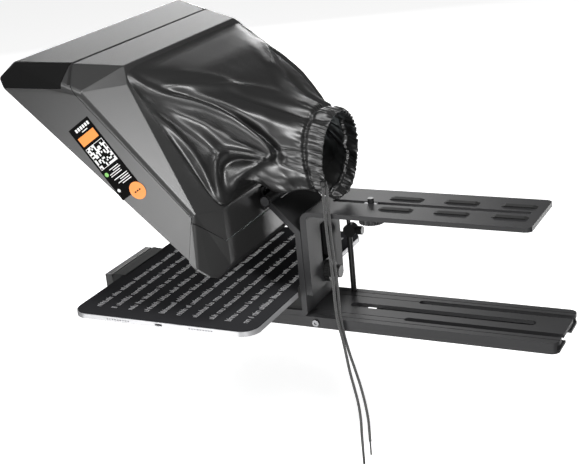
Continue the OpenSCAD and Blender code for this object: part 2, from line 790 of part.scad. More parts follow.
// Tube along a route, round its line with a fixed number of sides
module cord_tube(route, radius) {
    line = smooth_route(route);
    last = len(line) - 1;
    rings = [
        for (i = [0 : last])
            let (
                ahead = unit(line[min(i + 1, last)] - line[max(i - 1, 0)]),
                side = unit(cross(ahead, [0, 1, 0])),
                front = cross(ahead, side)
            )
            each [
                for (j = [0 : cord_sides - 1])
                    line[i] + radius * (cos(j * 360 / cord_sides) * side + sin(j * 360 / cord_sides) * front)
            ]
    ];
    n = cord_sides;
    walls = [
        for (i = [0 : last - 1], j = [0 : n - 1])
            let (a = i * n + j, b = i * n + (j + 1) % n)
            each [[a, a + n, b + n], [a, b + n, b]]
    ];
    caps = [[for (j = [0 : n - 1]) j], [for (j = [n - 1 : -1 : 0]) last * n + j]];
    polyhedron(rings, concat(walls, caps));
}

// Tip pushed on a cord's end, in line with its last stretch
module cord_tip(route, radius) {
    end = route[len(route) - 1];
    ahead = unit(end - route[len(route) - 2]);
    tilt = acos(ahead[2]);
    heading = atan2(ahead[1], ahead[0]);
    translate(end) rotate([0, tilt, heading]) cylinder(h = tip_l, r = radius, $fn = 24);
}

module drawstring_a() { color([0.12, 0.12, 0.12]) cord_tube(CORD_A, cord_d / 2); }
module drawstring_b() { color([0.12, 0.12, 0.12]) cord_tube(CORD_B, cord_d / 2); }
module cord_tip_a() { color([0.25, 0.25, 0.25]) cord_tip(CORD_A, 1.35); }
module cord_tip_b() { color([0.35, 0.35, 0.35]) cord_tip(CORD_B, 0.95); }

base_rail();
rail_side_screws();
tripod_block();
block_screws();
support_bracket();
bracket_screws();
guide_key();
rear_jaw_pad();
strut_tube();
strut_collar();
camera_plate();
grip_strips();
strut_rod();
slot_washer();
camera_screw();
height_lock_knob();
strut_lock_knob();
jaw_bar();
front_jaw();
front_jaw_pad();
jaw_lock_screw();
tablet_body();
tablet_screen();
hood_frame();
hood_body();
hood_lower_rim();
trim_strip_left();
trim_strip_right();
beam_splitter_glass();
glass_gasket();
sleeve_clamp_frame();
sleeve_top_panel();
sleeve_left_panel();
sleeve_under_panel();
sleeve_right_panel();
cord_eyelet();
hinge_leaf();
leaf_screws();
hinge_pin();
drawstring_a();
drawstring_b();
cord_tip_a();
cord_tip_b();
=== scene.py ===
import json
import math
import bpy
import bmesh
import numpy as np
from mathutils import Matrix, Vector, noise
from mathutils.bvhtree import BVHTree


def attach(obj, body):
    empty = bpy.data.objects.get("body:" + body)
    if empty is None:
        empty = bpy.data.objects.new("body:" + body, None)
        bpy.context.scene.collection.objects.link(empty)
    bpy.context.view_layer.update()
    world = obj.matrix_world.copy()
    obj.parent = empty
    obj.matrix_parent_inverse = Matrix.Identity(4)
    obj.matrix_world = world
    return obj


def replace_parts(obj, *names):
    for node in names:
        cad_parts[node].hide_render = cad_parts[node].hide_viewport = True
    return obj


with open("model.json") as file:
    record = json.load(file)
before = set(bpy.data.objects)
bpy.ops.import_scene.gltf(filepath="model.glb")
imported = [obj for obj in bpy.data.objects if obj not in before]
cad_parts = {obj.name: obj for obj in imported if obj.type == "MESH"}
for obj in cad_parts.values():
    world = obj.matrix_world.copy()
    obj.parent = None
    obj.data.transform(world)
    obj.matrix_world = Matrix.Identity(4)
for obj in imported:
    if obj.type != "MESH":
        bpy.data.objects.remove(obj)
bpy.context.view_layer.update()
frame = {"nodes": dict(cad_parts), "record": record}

scene = bpy.context.scene
scene.view_settings.view_transform = "Standard"
MM = 0.001


# ---------- camera, floor and light ----------

# camera: its axes and place in the object's frame, in metres
CAMERA_RIGHT = Vector((-0.43192, 0.89718, -0.09226))
CAMERA_UP = Vector((-0.34869, -0.07177, 0.93449))
CAMERA_BACK = Vector((0.83178, 0.43579, 0.34383))
CAMERA_PLACE = Vector((1.0995, 0.5318, 0.5392))
CAMERA_LENS = 77.82

FLOOR_Z = -0.17
FLOOR_HALF = 30
FLOOR_GLOW = 0.75
FILL_LIGHT = 0.11

# name, place, point aimed at, width, watts, height (square where None)
LAMPS = (
    ("near_high", (1.2, -0.3, 1.2), (0, -0.05, 0.2), 0.6, 12, None),
    ("overhead", (0.5, 0.15, 1.75), (0.05, -0.02, 0.2), 0.8, 15, 0.5),
    ("rear_high", (0.62, 1.15, 1.1), (0.12, -0.09, 0.2), 0.32, 16, None),
    ("below", (0.45, 0.05, -0.85), (0.05, 0, 0.15), 0.4, 7, None),
    ("far", (-2.1, -1.25, 0.66), (0, -0.05, 0.2), 1.2, 14.5, 0.35),
    ("near_low", (1.1, -0.6, -0.38), (0.1, -0.1, 0.2), 0.5, 6, 0.4),
    ("near_rear", (1.5, 0.75, -0.15), (0.1, -0.1, 0.22), 0.5, 9, None),
    ("far_rear", (-1.3, 0.9, -0.28), (0.05, 0.02, 0.12), 0.5, 7, None),
)


def make_camera():
    """Long lens behind and to the near side of the object, a little above it."""
    cam = bpy.data.objects.new("camera", bpy.data.cameras.new("camera"))
    scene.collection.objects.link(cam)
    rows = zip(CAMERA_RIGHT, CAMERA_UP, CAMERA_BACK, CAMERA_PLACE)
    cam.matrix_world = Matrix((*rows, (0, 0, 0, 1)))
    cam.data.sensor_width = 36
    cam.data.lens = CAMERA_LENS
    cam.data.clip_start = 0.05
    cam.data.clip_end = 60
    scene.camera = cam


def area_light(name, place, target, width, watts, height):
    lamp = bpy.data.lights.new(name, "AREA")
    lamp.energy = watts
    lamp.size = width
    if height:
        lamp.shape = "RECTANGLE"
        lamp.size_y = height
    ob = bpy.data.objects.new(name, lamp)
    scene.collection.objects.link(ob)
    ob.location = place
    ob.rotation_euler = (Vector(target) - Vector(place)).to_track_quat("-Z", "Y").to_euler()


def make_world():
    """White behind the object, and a weak even fill for everything else."""
    world = bpy.data.worlds.new("studio")
    scene.world = world
    world.use_nodes = True
    nt = world.node_tree
    bg = nt.nodes["Background"]
    bg.inputs[0].default_value = (1, 1, 1, 1)
    path = nt.nodes.new("ShaderNodeLightPath")
    level = nt.nodes.new("ShaderNodeMapRange")
    level.inputs["To Min"].default_value = FILL_LIGHT
    level.inputs["To Max"].default_value = 1.0
    nt.links.new(path.outputs["Is Camera Ray"], level.inputs["Value"])
    nt.links.new(level.outputs["Result"], bg.inputs[1])


def make_floor():
    """Bright floor under the cords, which lights and mirrors nothing."""
    bm = bmesh.new()
    bmesh.ops.create_grid(bm, x_segments=1, y_segments=1, size=FLOOR_HALF)
    me = bpy.data.meshes.new("floor")
    bm.to_mesh(me)
    bm.free()
    ob = bpy.data.objects.new("floor", me)
    scene.collection.objects.link(ob)
    ob.location.z = FLOOR_Z
    ob.visible_diffuse = False
    ob.visible_glossy = False
    ob.visible_shadow = False
    m = bpy.data.materials.new("floor")
    m.use_nodes = True
    p = m.node_tree.nodes["Principled BSDF"]
    p.inputs["Base Color"].default_value = (0.9, 0.9, 0.9, 1)
    p.inputs["Roughness"].default_value = 0.9
    p.inputs["Specular IOR Level"].default_value = 0.0
    p.inputs["Emission Color"].default_value = (1, 1, 1, 1)
    p.inputs["Emission Strength"].default_value = FLOOR_GLOW
    me.materials.append(m)


make_camera()
make_world()
make_floor()
for lamp_row in LAMPS:
    area_light(*lamp_row)


# ---------- materials ----------

NOISE_BROAD = 14.0
GRAIN_DEPTH = 0.0002

# braid of the cords: strands each way round, turn of their pattern for each millimetre, and its look:
# colour, painted shade in the valleys between strands, and bump depth
BRAID_STRANDS = 4
BRAID_TURN = 2.6
BRAID_COLOUR = (0.05, 0.05, 0.05)
BRAID_VALLEY_SHADE = 0.25
BRAID_DEPTH = 0.0004


def tree(name):
    m = bpy.data.materials.new(name)
    m.use_nodes = True
    nt = m.node_tree
    return m, nt, nt.nodes["Principled BSDF"]


def node(nt, kind, **values):
    """New shader node, with each value set on the input of that name, or else on the node itself."""
    n = nt.nodes.new("ShaderNode" + kind)
    for k, v in values.items():
        if k in n.inputs:
            n.inputs[k].default_value = v
        else:
            setattr(n, k, v)
    return n


def surface(name, base, rough, spec=0.5, metallic=0.0, grain=900.0, bump=0.02, vary=0.12, rough_vary=0.08):
    """Plain surface: fine grain in the bump and the roughness, and a broad drift in the colour."""
    m, nt, p = tree(name)
    pos = node(nt, "NewGeometry")
    fine = node(nt, "TexNoise", Scale=grain, Detail=3.0)
    wide = node(nt, "TexNoise", Scale=NOISE_BROAD, Detail=4.0)
    nt.links.new(pos.outputs["Position"], fine.inputs["Vector"])
    nt.links.new(pos.outputs["Position"], wide.inputs["Vector"])
    ramp = node(nt, "MapRange")
    ramp.inputs["To Min"].default_value = 1 - vary
    ramp.inputs["To Max"].default_value = 1 + vary
    nt.links.new(wide.outputs["Fac"], ramp.inputs["Value"])
    mul = node(nt, "VectorMath", operation="SCALE")
    mul.inputs[0].default_value = base
    nt.links.new(ramp.outputs["Result"], mul.inputs["Scale"])
    nt.links.new(mul.outputs["Vector"], p.inputs["Base Color"])
    rr = node(nt, "MapRange")
    rr.inputs["To Min"].default_value = max(rough - rough_vary, 0.02)
    rr.inputs["To Max"].default_value = rough + rough_vary
    nt.links.new(fine.outputs["Fac"], rr.inputs["Value"])
    nt.links.new(rr.outputs["Result"], p.inputs["Roughness"])
    b = node(nt, "Bump", Strength=bump, Distance=GRAIN_DEPTH)
    nt.links.new(fine.outputs["Fac"], b.inputs["Height"])
    nt.links.new(b.outputs["Normal"], p.inputs["Normal"])
    p.inputs["Metallic"].default_value = metallic
    p.inputs["Specular IOR Level"].default_value = spec
    return m


def braid_material():
    """Round braid: two sets of strands that cross, from the cord's own UVs in turns and millimetres."""
    m, nt, p = tree("cord_braid")
    uv = node(nt, "UVMap")
    split = node(nt, "SeparateXYZ")
    nt.links.new(uv.outputs["UV"], split.inputs[0])
    waves = []
    for sign in (1, -1):
        turn = node(nt, "Math", operation="MULTIPLY")
        turn.inputs[1].default_value = BRAID_STRANDS * 2 * math.pi * sign
        nt.links.new(split.outputs["X"], turn.inputs[0])
        run = node(nt, "Math", operation="MULTIPLY_ADD")
        run.inputs[1].default_value = BRAID_TURN
        nt.links.new(split.outputs["Y"], run.inputs[0])
        nt.links.new(turn.outputs[0], run.inputs[2])
        wave = node(nt, "Math", operation="SINE")
        nt.links.new(run.outputs[0], wave.inputs[0])
        waves.append(wave)
    top = node(nt, "Math", operation="MAXIMUM")
    nt.links.new(waves[0].outputs[0], top.inputs[0])
    nt.links.new(waves[1].outputs[0], top.inputs[1])
    # painted shade: the colour darkens toward the valleys between the strands, by the same height the bump
    # uses
    ramp = node(nt, "MapRange")
    ramp.inputs["From Min"].default_value = -1
    ramp.inputs["To Min"].default_value = BRAID_VALLEY_SHADE
    nt.links.new(top.outputs[0], ramp.inputs["Value"])
    mul = node(nt, "VectorMath", operation="SCALE")
    mul.inputs[0].default_value = BRAID_COLOUR
    nt.links.new(ramp.outputs["Result"], mul.inputs["Scale"])
    nt.links.new(mul.outputs["Vector"], p.inputs["Base Color"])
    b = node(nt, "Bump", Strength=0.8, Distance=BRAID_DEPTH)
    nt.links.new(top.outputs[0], b.inputs["Height"])
    nt.links.new(b.outputs["Normal"], p.inputs["Normal"])
    p.inputs["Roughness"].default_value = 0.55
    p.inputs["Sheen Weight"].default_value = 0.2
    return m


def glass_material():
    """Thin coated glass, a little grey."""
    m, nt, p = tree("splitter_glass")
    p.inputs["Base Color"].default_value = (0.7, 0.76, 0.78, 1)
    p.inputs["Roughness"].default_value = 0.02
    p.inputs["IOR"].default_value = 1.6
    p.inputs["Transmission Weight"].default_value = 0.9
    p.inputs["Coat Weight"].default_value = 0.5
    return m


# the material for each slot of the record
M = {
    "rail_metal": surface("anodised_black", (0.024, 0.024, 0.025), 0.47, spec=0.25, grain=2500, bump=0.05),
    "bright_steel": surface("bright_steel", (0.13, 0.13, 0.135), 0.34, metallic=1.0, grain=1500),
    "dark_steel": surface("dark_steel", (0.03, 0.03, 0.031), 0.34, metallic=0.4, grain=1500),
    "moulded_black": surface("moulded_black", (0.018, 0.018, 0.018), 0.45, grain=1800, bump=0.1),
    "rubber": surface("rubber", (0.012, 0.012, 0.012), 0.7, spec=0.3, grain=1400, bump=0.15),
    "jaw_plastic": surface("jaw_plastic", (0.014, 0.014, 0.014), 0.42, spec=0.4, grain=1500, bump=0.08),
    "knob_plastic": surface("knob_plastic", (0.02, 0.02, 0.02), 0.3, grain=1500, bump=0.05),
    "knob_metal": surface("knob_metal", (0.03, 0.03, 0.031), 0.3, metallic=0.3, grain=1500),
    "tablet_metal": surface("tablet_metal", (0.42, 0.42, 0.43), 0.42, metallic=0.5, grain=3000, bump=0.03,
                            vary=0.02),
    "screen_glass": surface("screen_glass", (0.026, 0.026, 0.028), 0.6, spec=0.0, grain=60, bump=0.0),
    "hood_plastic": surface("hood_plastic", (0.022, 0.022, 0.022), 0.36, spec=0.66, grain=1600, bump=0.1),
    "gloss_trim": surface("gloss_trim", (0.006, 0.006, 0.006), 0.07, grain=30, bump=0.01, rough_vary=0.02),
    "sleeve_cloth": surface("sleeve_cloth", (0.009, 0.009, 0.009), 0.37, spec=0.85, grain=1500, bump=0.12,
                            vary=0.05),
    "cord": braid_material(),
    "cord_tip": surface("cord_tip", (0.12, 0.12, 0.12), 0.3, metallic=0.8, grain=900),
    "splitter_glass": glass_material(),
}

SLOT = {s["node"]: s["material_slot"] for s in frame["record"]["subparts"]}
BODY = {n: b for b, nodes in frame["record"]["behaviour"]["bodies"].items() for n in nodes}
for name, ob in frame["nodes"].items():
    for s in ob.material_slots:
        s.material = M[SLOT[name]]
    if not ob.material_slots:
        ob.data.materials.append(M[SLOT[name]])


# ---------- mesh helpers ----------

def add_object(name, mesh, body, mat):
    """Smooth-shaded piece that rides on a body, in the material of a slot."""
    ob = bpy.data.objects.new(name, mesh)
    scene.collection.objects.link(ob)
    mesh.materials.clear()
    mesh.materials.append(M[mat])
    mesh.polygons.foreach_set("use_smooth", [True] * len(mesh.polygons))
    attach(ob, body)
    return ob


def curve_through(points, steps):
    """Catmull-Rom points through a route given in millimetres, as in the CAD."""
    P = [Vector(p) for p in points]
    out = []
    for i in range(len(P) - 1):
        a, b, c, d = P[max(i - 1, 0)], P[i], P[i + 1], P[min(i + 2, len(P) - 1)]
        for k in range(steps):
            t = k / steps
            out.append(0.5 * (2 * b + (c - a) * t + (2 * a - 5 * b + 4 * c - d) * t * t
                              + (3 * b - a - 3 * c + d) * t ** 3))
    out.append(P[-1])
    return [p * MM for p in out]


def tube(name, line, radius, sides, body, mat):
    """Closed tube along a line and its length; its UVs are turns round it and millimetres along it."""
    bm = bmesh.new()
    uv = bm.loops.layers.uv.new("uv")
    rings = []
    dist = [0.0]
    for i in range(1, len(line)):
        dist.append(dist[-1] + (line[i] - line[i - 1]).length)
    for i, p in enumerate(line):
        ahead = (line[min(i + 1, len(line) - 1)] - line[max(i - 1, 0)]).normalized()
        side = ahead.cross(Vector((0, 1, 0))).normalized()
        front = ahead.cross(side)
        rings.append([bm.verts.new(p + radius * (math.cos(a) * side + math.sin(a) * front))
                      for a in (2 * math.pi * j / sides for j in range(sides))])
    for i in range(len(rings) - 1):
        for j in range(sides):
            k = (j + 1) % sides
            f = bm.faces.new((rings[i][j], rings[i + 1][j], rings[i + 1][k], rings[i][k]))
            for loop, (u, v) in zip(f.loops, ((j, i), (j, i + 1), (j + 1, i + 1), (j + 1, i))):
                loop[uv].uv = (u / sides, dist[v] / MM)
    bm.faces.new(rings[0])
    bm.faces.new(list(reversed(rings[-1])))
    bmesh.ops.recalc_face_normals(bm, faces=bm.faces)
    me = bpy.data.meshes.new(name)
    bm.to_mesh(me)
    bm.free()
    return add_object(name, me, body, mat), dist[-1]


# ---------- cords ----------

CORD_RADIUS = 1.5
CORD_SIDES = 16
CORD_STEPS = 6

CORD_A = [(46.4, 22, 158), (46.4, 21, 146), (46.6, 21.2, 134), (46.8, 21.4, 119), (46.8, 21.8, 103),
          (46.8, 22.6, 87), (46.8, 23.4, 71), (46.8, 24, 54), (46.8, 24, 36), (46.8, 24.8, 18),
          (47, 27, 4), (47, 29.4, -8), (47, 31.6, -24), (47, 34, -42), (47, 37.4, -60), (47, 40.6, -78),
          (47, 42, -96), (47, 41.8, -115), (47, 41.8, -134)]
CORD_B = [(43.9, 24.1, 158.5), (43.6, 24, 146), (43.4, 24, 134), (43.2, 24, 119), (43.2, 24.2, 103),
          (43.2, 24.8, 87), (43.2, 25.6, 71), (43.2, 26.4, 54), (43.2, 26.6, 36), (43.2, 26.8, 18),
          (43.2, 28.4, 4), (43.2, 30.6, -9), (43.2, 34.4, -26), (43.2, 39.2, -44), (43.2, 43.6, -62),
          (43.2, 46.8, -80), (43.2, 48.8, -98), (43.2, 49, -111), (43.2, 49, -124)]

for letter, route in (("a", CORD_A), ("b", CORD_B)):
    line = curve_through(route, CORD_STEPS)
    ob, length = tube("drawstring_cord_" + letter, line, CORD_RADIUS * MM, CORD_SIDES, "drawstrings", "cord")
    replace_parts(ob, "drawstring_" + letter)


# ---------- solid tools ----------

WELD = 1e-6
FLAT_ANGLE = math.radians(0.6)
EDGE_ANGLE = math.radians(30)


def scratch(name, bm):
    me = bpy.data.meshes.new(name)
    bm.to_mesh(me)
    bm.free()
    ob = bpy.data.objects.new(name, me)
    scene.collection.objects.link(ob)
    return ob


def solid_op(ob, other, operation):
    """Boolean of two closed meshes; both scratch objects are used up and a new mesh comes back."""
    mod = ob.modifiers.new("cut", "BOOLEAN")
    mod.operation = operation
    mod.solver = "MANIFOLD"
    mod.object = other
    graph = bpy.context.evaluated_depsgraph_get()
    me = bpy.data.meshes.new_from_object(ob.evaluated_get(graph))
    for o in (ob, other):
        old = o.data
        bpy.data.objects.remove(o)
        bpy.data.meshes.remove(old)
    out = bpy.data.objects.new("work", me)
    scene.collection.objects.link(out)
    return out


def minus(a, b):
    return solid_op(a, b, "DIFFERENCE")


def meet(a, b):
    return solid_op(a, b, "INTERSECT")


def join(a, b):
    return solid_op(a, b, "UNION")


def prism(points, axis, low, high):
    """Closed prism on a polygon: the polygon's two numbers are the other two axes in order."""
    bm = bmesh.new()
    rings = []
    for level in (low, high):
        ring = []
        for p in points:
            co = list(p)
            co.insert("XYZ".index(axis), level)
            ring.append(bm.verts.new(Vector(co) * MM))
        rings.append(ring)
    n = len(points)
    bm.faces.new(rings[0])
    bm.faces.new(rings[1])
    for i in range(n):
        bm.faces.new((rings[0][i], rings[0][(i + 1) % n], rings[1][(i + 1) % n], rings[1][i]))
    bmesh.ops.recalc_face_normals(bm, faces=bm.faces)
    return scratch("prism", bm)


def finish_piece(ob, name, body, mat, bevel):
    """Names a scratch solid, rounds its edges by a width in millimetres and keeps its faces flat."""
    bm = bmesh.new()
    bm.from_mesh(ob.data)
    bmesh.ops.remove_doubles(bm, verts=bm.verts, dist=WELD)
    bmesh.ops.dissolve_limit(bm, angle_limit=FLAT_ANGLE, verts=bm.verts, edges=bm.edges)
    bm.to_mesh(ob.data)
    bm.free()
    me = ob.data
    bpy.data.objects.remove(ob)
    piece = add_object(name, me, body, mat)
    b = piece.modifiers.new("edge", "BEVEL")
    b.width = bevel * MM
    b.segments = 2
    b.limit_method = "ANGLE"
    b.angle_limit = EDGE_ANGLE
    b.miter_outer = "MITER_ARC"
    me.set_sharp_from_angle(angle=EDGE_ANGLE)
    w = piece.modifiers.new("normals", "WEIGHTED_NORMAL")
    w.keep_sharp = True
    w.weight = 80
    return piece


def node_copy(name):
    """Scratch copy of a CAD node."""
    me = frame["nodes"][name].data.copy()
    ob = bpy.data.objects.new("work", me)
    scene.collection.objects.link(ob)
    return ob


# ---------- hood ----------

# x, y, z of the near side's corners, each with the radius that rounds it
HOOD_CORNERS = [
    (162, -254, 280.5, 3), (162.5, -256.5, 291.5, 4), (158, -244.5, 302.5, 7),
    (126.5, -188.6, 296, 5), (115, -149, 291.6, 4), (161, -170, 277.8, 6), (126.5, -140.5, 277.4, 4),
    (147, -69, 154.5, 5), (121, -73, 171, 4), (111, -59, 148.6, 4), (111, -59, 91, 4),
    (142, -80, 107.5, 3), (142, -74, 99, 3), (131.5, -69, 88.5, 3), (121, -65, 84, 3),
]
HOOD_MID = Vector((0, -130, 190))
CORNER_PUSH = 1.15
INNER_RADIUS = 4
LEAST_RADIUS = 0.3
WALL = 2.6
GLASS_PLANE = 27

# seam between the front and the rear shell: y, z of its corners, and its slope above the top one
SEAM_TOP = (-188.6, 296.1)
SEAM_BEND = (-70, 154.5)
SEAM_FOOT = (-86, 87)
SEAM_SLOPE = -1.194
SEAM_PAST = 40
SEAM_GROOVE = 3.0
SEAM_GAP = 0.8
GROOVE_FOOT_Z = 284
LIP_INSET = 1.9
LIP_FRONT = 3.6
LIP_REAR = 3
LIP_FOOT = 30

# top line of the lower rim: level between the corner facets, and rising over them
RIM_Z = 119
RIM_HALF = 110
RIM_END = 170
RIM_SLOPE = 0.806
RIM_GAP = 0.5
RIM_STEP = 1
RIM_FRONT = [(-120, 166.3), (-50, 59), (-120, 59)]

# opening for the sleeve in the leaning rear face
OPENING_FOOT = Vector((0, -60, 148))
OPENING_HEAD = Vector((0, -149, 290))
OPENING_HALF = 112
OPENING_EDGE = 18
OPENING_RADIUS = 14
OPENING_DEPTH = 30
ARC_STEPS = 8

# gloss strips on the upper front corners
TRIM_FOOT_Z = 281
TRIM_HEAD_Z = 350
TRIM_RECESS = 1.3
TRIM_THICKNESS = 1.2
TRIM_GAP = 0.3


def hood_solid(inset, own_radius=True):
    """Convex skin over the hood's rounded corners, moved in by a distance."""
    bm = bmesh.new()
    ball = bmesh.new()
    bmesh.ops.create_icosphere(ball, subdivisions=4 if own_radius else 2, radius=1)
    points = [v.co.copy() for v in ball.verts]
    ball.free()
    for x, y, z, radius in HOOD_CORNERS:
        r = radius if own_radius else INNER_RADIUS
        corner = Vector((x, y, z))
        c = corner + (HOOD_MID - corner).normalized() * r * CORNER_PUSH
        for side in (-1, 1):
            for p in points:
                q = c + p * max(r - inset, LEAST_RADIUS)
                bm.verts.new(Vector((side * q.x, q.y, q.z)) * MM)
    bmesh.ops.convex_hull(bm, input=bm.verts)
    loose = {v for v in bm.verts if not v.link_faces}
    bmesh.ops.delete(bm, geom=list(loose), context="VERTS")
    bmesh.ops.recalc_face_normals(bm, faces=bm.faces)
    return scratch("hood_solid", bm)


def shell(outer, inner):
    return minus(hood_solid(outer), hood_solid(inner, False))


def rear_part(shift):
    """All that lies behind the seam, with the seam moved toward the rear by a distance."""
    past = (SEAM_TOP[0] + SEAM_PAST / SEAM_SLOPE, SEAM_TOP[1] + SEAM_PAST)
    pts = [past, SEAM_TOP, SEAM_BEND, SEAM_FOOT, (SEAM_FOOT[0], 40), (80, 40), (80, 345)]
    return prism([(y + shift, z) for y, z in pts], "X", -250, 250)


def low_part(shift):
    """All that lies below the rim's top line, with the line moved up by a distance."""
    end_z = RIM_Z + (RIM_END - RIM_HALF) * RIM_SLOPE
    pts = [(-RIM_END, 40), (RIM_END, 40), (RIM_END, end_z), (RIM_HALF, RIM_Z), (-RIM_HALF, RIM_Z),
           (-RIM_END, end_z)]
    return prism([(x, z + shift) for x, z in pts], "Y", -330, 40)


def below_glass(level):
    """All that lies below the glass, a plane on which y and z add up to the level."""
    front, floor = -500, -300
    return prism([(front, level - front), (level - floor, floor), (front, floor)], "X", -300, 300)


def below_groove():
    """All that lies below the wide groove of the hood's top, where the seam stays narrow."""
    return prism([(-400, GROOVE_FOOT_Z), (200, GROOVE_FOOT_Z), (200, -100), (-400, -100)], "X", -300, 300)


def opening():
    """Rounded prism through the leaning rear face, for the sleeve."""
    up = OPENING_HEAD - OPENING_FOOT
    height = up.length
    up.normalize()
    out = Vector((0, up.z, -up.y))
    mid = (OPENING_FOOT + OPENING_HEAD) / 2
    r = OPENING_RADIUS
    cx, cy = OPENING_HALF - r, (height - OPENING_EDGE) / 2 - r
    bm = bmesh.new()
    rings = []
    for level in (-OPENING_DEPTH, OPENING_DEPTH):
        ring = []
        for sx, sy, first in ((1, 1, 0), (-1, 1, 90), (-1, -1, 180), (1, -1, 270)):
            for k in range(ARC_STEPS + 1):
                a = math.radians(first + k * 90 / ARC_STEPS)
                across = Vector((sx * cx + r * math.cos(a), 0, 0))
                rise = up * (sy * cy + r * math.sin(a))
                ring.append(bm.verts.new((across + mid + rise + out * level) * MM))
        rings.append(ring)
    n = len(rings[0])
    bm.faces.new(rings[0])
    bm.faces.new(rings[1])
    for i in range(n):
        bm.faces.new((rings[0][i], rings[0][(i + 1) % n], rings[1][(i + 1) % n], rings[1][i]))
    bmesh.ops.recalc_face_normals(bm, faces=bm.faces)
    return scratch("opening", bm)


def trim_zone(side, inset):
    """Zone of one gloss strip, drawn from above and made smaller by an inset."""
    pts = [(159, -300), (159 + inset, -246), (129 + inset, -194 - inset), (200, -180 - inset), (200, -300)]
    return prism([(side * x, y) for x, y in pts], "Z", TRIM_FOOT_Z + inset, TRIM_HEAD_Z)


def front_shell():
    """Front of the hood, cut back along the seam, with a thin lip inside that closes the gap."""
    groove = minus(rear_part(-SEAM_GROOVE), below_groove())
    front = minus(minus(shell(0, WALL), groove), rear_part(-SEAM_GAP))
    lip = minus(meet(shell(LIP_INSET, WALL), rear_part(-LIP_FRONT)), rear_part(LIP_REAR))
    front = join(front, minus(lip, low_part(LIP_FOOT)))
    return minus(front, below_glass(GLASS_PLANE))


def hood_pieces():
    front = front_shell()
    for side in (-1, 1):
        front = minus(front, minus(trim_zone(side, 0), hood_solid(TRIM_RECESS)))
        strip = minus(meet(hood_solid(0), trim_zone(side, TRIM_GAP)), hood_solid(TRIM_THICKNESS))
        name = "trim_strip_right" if side > 0 else "trim_strip_left"
        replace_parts(finish_piece(strip, "gloss_" + name, "hood", "gloss_trim", 0.3), name)
    body = minus(minus(meet(shell(0, WALL), rear_part(0)), opening()), low_part(RIM_GAP))
    rim = meet(meet(shell(-RIM_STEP, WALL), rear_part(0)), low_part(-RIM_GAP))
    rim = minus(rim, prism(RIM_FRONT, "X", -200, 200))
    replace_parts(finish_piece(front, "hood_front_shell", "hood", "hood_plastic", 0.5), "hood_frame")
    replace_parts(finish_piece(body, "hood_rear_shell", "hood", "hood_plastic", 0.5), "hood_body")
    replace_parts(finish_piece(rim, "hood_rim_shell", "hood", "hood_plastic", 0.4), "hood_lower_rim")


hood_pieces()


# ---------- rails and metal parts with eased edges ----------

for name, bevel in (("base_rail", 0.35), ("camera_plate", 0.45), ("support_bracket", 0.5),
                    ("front_jaw_pad", 0.3), ("tablet_body", 0.25), ("hinge_leaf", 0.4)):
    ob = node_copy(name)
    piece = finish_piece(ob, name + "_eased", BODY[name], SLOT[name], bevel)
    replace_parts(piece, name)


# ---------- fabric sleeve ----------

# the smooth sleeve at shares along it: top line, low line, half its width, and how square it is
T_KEYS = (0, 0.15, 0.3, 0.45, 0.6, 0.75, 0.88, 1)
TOP_Y = (-147.3, -127, -98, -72, -48, -24, 0, 22)
TOP_Z = (288.4, 284, 274.5, 261, 246, 234, 225, 220)
LOW_Y = (-60.6, -53, -44, -33, -20, -6, 8, 22)
LOW_Z = (150, 161, 166, 160, 154, 147, 138, 132)
HALF_W = (117, 111, 98, 85, 72, 59, 50, 44)
POWER = (14, 7, 4.5, 3.6, 3, 2.5, 2.1, 2)
SLEEVE_LENGTH = 170.0
CLOTH = 0.9
CHANNEL = 0.895
FAR_SIDE = 0.8
PATH_STEPS = 44
CRUMPLE_SEED = Vector((7.1, 3.3, 1.7))

# zone over the camera screw at the front of its slot, where the cloth stays above this height
SCREW_HALF_X = 9
SCREW_Y = -20
SCREW_CLEAR_Z = 132.8

# each fold: path as (share along, degrees round), then heights and widths in millimetres along the path
# crease that bounds the taut top panel
TOP_CREASE = ([(0, 45), (0.1, 41), (0.18, 39), (0.25, 42), (0.34, 47), (0.45, 56), (0.56, 74), (0.68, 92)],
              (0.5, 2.5, 3, 3, 2.6, 2, 1, 0), (5, 6, 6, 6, 6, 6, 6, 6))

# flap of the side panel that laps over the lower tube: widths of its steep side, then of its wide side
FLAP = ([(0, 43), (0.13, 37), (0.25, 34.5), (0.37, 32.5), (0.48, 30), (0.58, 25), (0.65, 18), (0.69, 8),
         (0.685, 0), (0.64, -7)],
        (0.5, 4, 6, 8, 10, 11, 12, 11, 9, 4), (3, 4, 4, 4, 4, 4, 4, 4, 4, 4),
        (8, 14, 18, 20, 22, 22, 22, 22, 18, 12))

